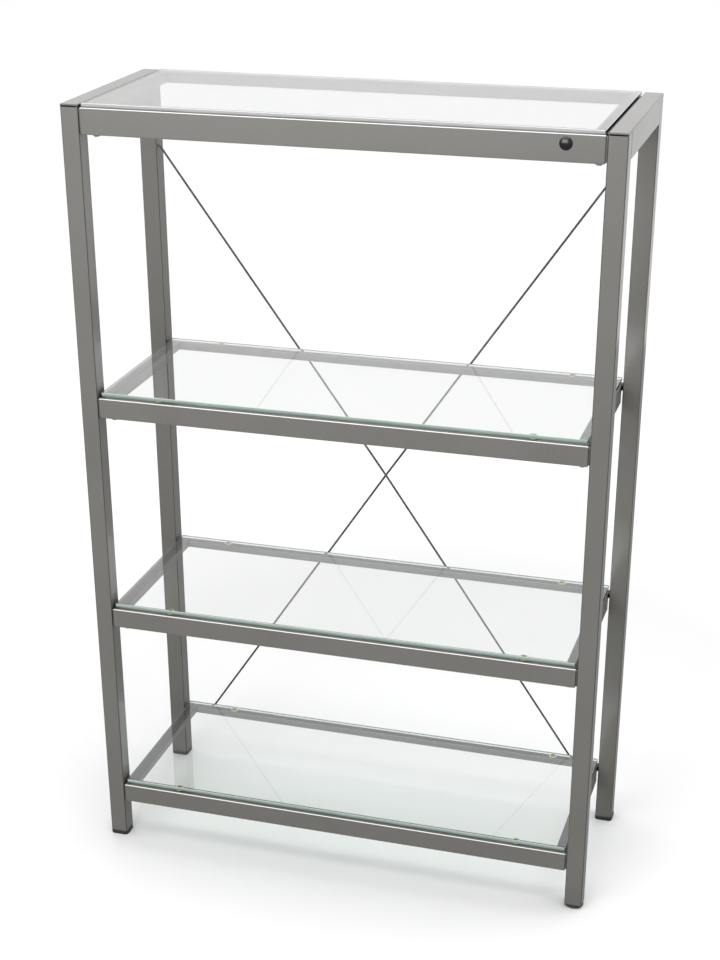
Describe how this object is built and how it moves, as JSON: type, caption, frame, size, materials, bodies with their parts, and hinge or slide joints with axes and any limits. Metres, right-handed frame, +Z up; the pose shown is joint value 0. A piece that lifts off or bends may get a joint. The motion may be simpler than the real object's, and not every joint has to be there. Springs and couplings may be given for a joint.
{
  "type": "glass display shelf",
  "caption": "Free-standing steel-tube display shelf with clear glass shelves on a welded frame, crossed tie rods behind and a levelling glide under one post.",
  "frame": {"origin": "on the floor under the middle of the outer frame", "axes": "+Z up, +X to the right seen from the front, the front faces -Y; the tie rods are on the +Y side"},
  "size_m": [0.7316, 0.2793, 1.0954],
  "materials": {
    "grey_paint": "satin powder coat",
    "float_glass": "clear, green at the ground edges",
    "clear_pvc": "soft translucent",
    "black_gloss_plastic": "gloss",
    "black_plastic": "matte",
    "zinc_steel": "zinc plated",
    "dark_zinc_steel": "dull zinc"
  },
  "bodies": {
    "frame": {"left_front_post": "grey_paint", "left_rear_post": "grey_paint", "left_top_rail": "grey_paint", "right_front_post": "grey_paint", "right_rear_post": "grey_paint", "right_top_rail": "grey_paint", "top_front_rail": "grey_paint", "top_rear_rail": "grey_paint", "top_left_end_rail": "grey_paint", "top_right_end_rail": "grey_paint", "upper_front_rail": "grey_paint", "upper_rear_rail": "grey_paint", "upper_left_end_rail": "grey_paint", "upper_right_end_rail": "grey_paint", "middle_front_rail": "grey_paint", "middle_rear_rail": "grey_paint", "middle_left_end_rail": "grey_paint", "middle_right_end_rail": "grey_paint", "bottom_front_rail": "grey_paint", "bottom_rear_rail": "grey_paint", "bottom_left_end_rail": "grey_paint", "bottom_right_end_rail": "grey_paint", "upper_left_front_pad": "clear_pvc", "upper_left_rear_pad": "clear_pvc", "upper_right_front_pad": "clear_pvc", "upper_right_rear_pad": "clear_pvc", "middle_left_front_pad": "clear_pvc", "middle_left_rear_pad": "clear_pvc", "middle_right_front_pad": "clear_pvc", "middle_right_rear_pad": "clear_pvc", "bottom_left_front_pad": "clear_pvc", "bottom_left_rear_pad": "clear_pvc", "bottom_right_front_pad": "clear_pvc", "bottom_right_rear_pad": "clear_pvc", "top_left_screw": "zinc_steel", "top_right_screw": "zinc_steel", "upper_left_screw": "zinc_steel", "upper_right_screw": "zinc_steel", "middle_left_screw": "zinc_steel", "middle_right_screw": "zinc_steel", "bottom_left_screw": "zinc_steel", "bottom_right_screw": "zinc_steel", "front_cap": "black_gloss_plastic", "left_front_foot": "black_plastic", "left_rear_foot": "black_plastic", "right_rear_foot": "black_plastic", "right_front_threaded_insert": "black_plastic", "tie_rod_left_to_right": "dark_zinc_steel", "tie_rod_right_to_left": "dark_zinc_steel"},
    "top_shelf": {"top_glass": "float_glass"},
    "upper_shelf": {"upper_glass": "float_glass"},
    "middle_shelf": {"middle_glass": "float_glass"},
    "bottom_shelf": {"bottom_glass": "float_glass"},
    "glide": {"right_front_levelling_glide": "black_plastic"}
  },
  "joints": [
    {"name": "top_glass_lift", "type": "slide", "parent": "frame", "child": "top_shelf", "axis": [0, 0, 1], "range_m": [0, 0.03]},
    {"name": "upper_glass_lift", "type": "slide", "parent": "frame", "child": "upper_shelf", "axis": [0, 0, 1], "range_m": [0, 0.03]},
    {"name": "middle_glass_lift", "type": "slide", "parent": "frame", "child": "middle_shelf", "axis": [0, 0, 1], "range_m": [0, 0.03]},
    {"name": "bottom_glass_lift", "type": "slide", "parent": "frame", "child": "bottom_shelf", "axis": [0, 0, 1], "range_m": [0, 0.03]},
    {"name": "glide_screw_out", "type": "slide", "parent": "frame", "child": "glide", "axis": [0, 0, -1], "range_m": [0, 0.008]}
  ]
}
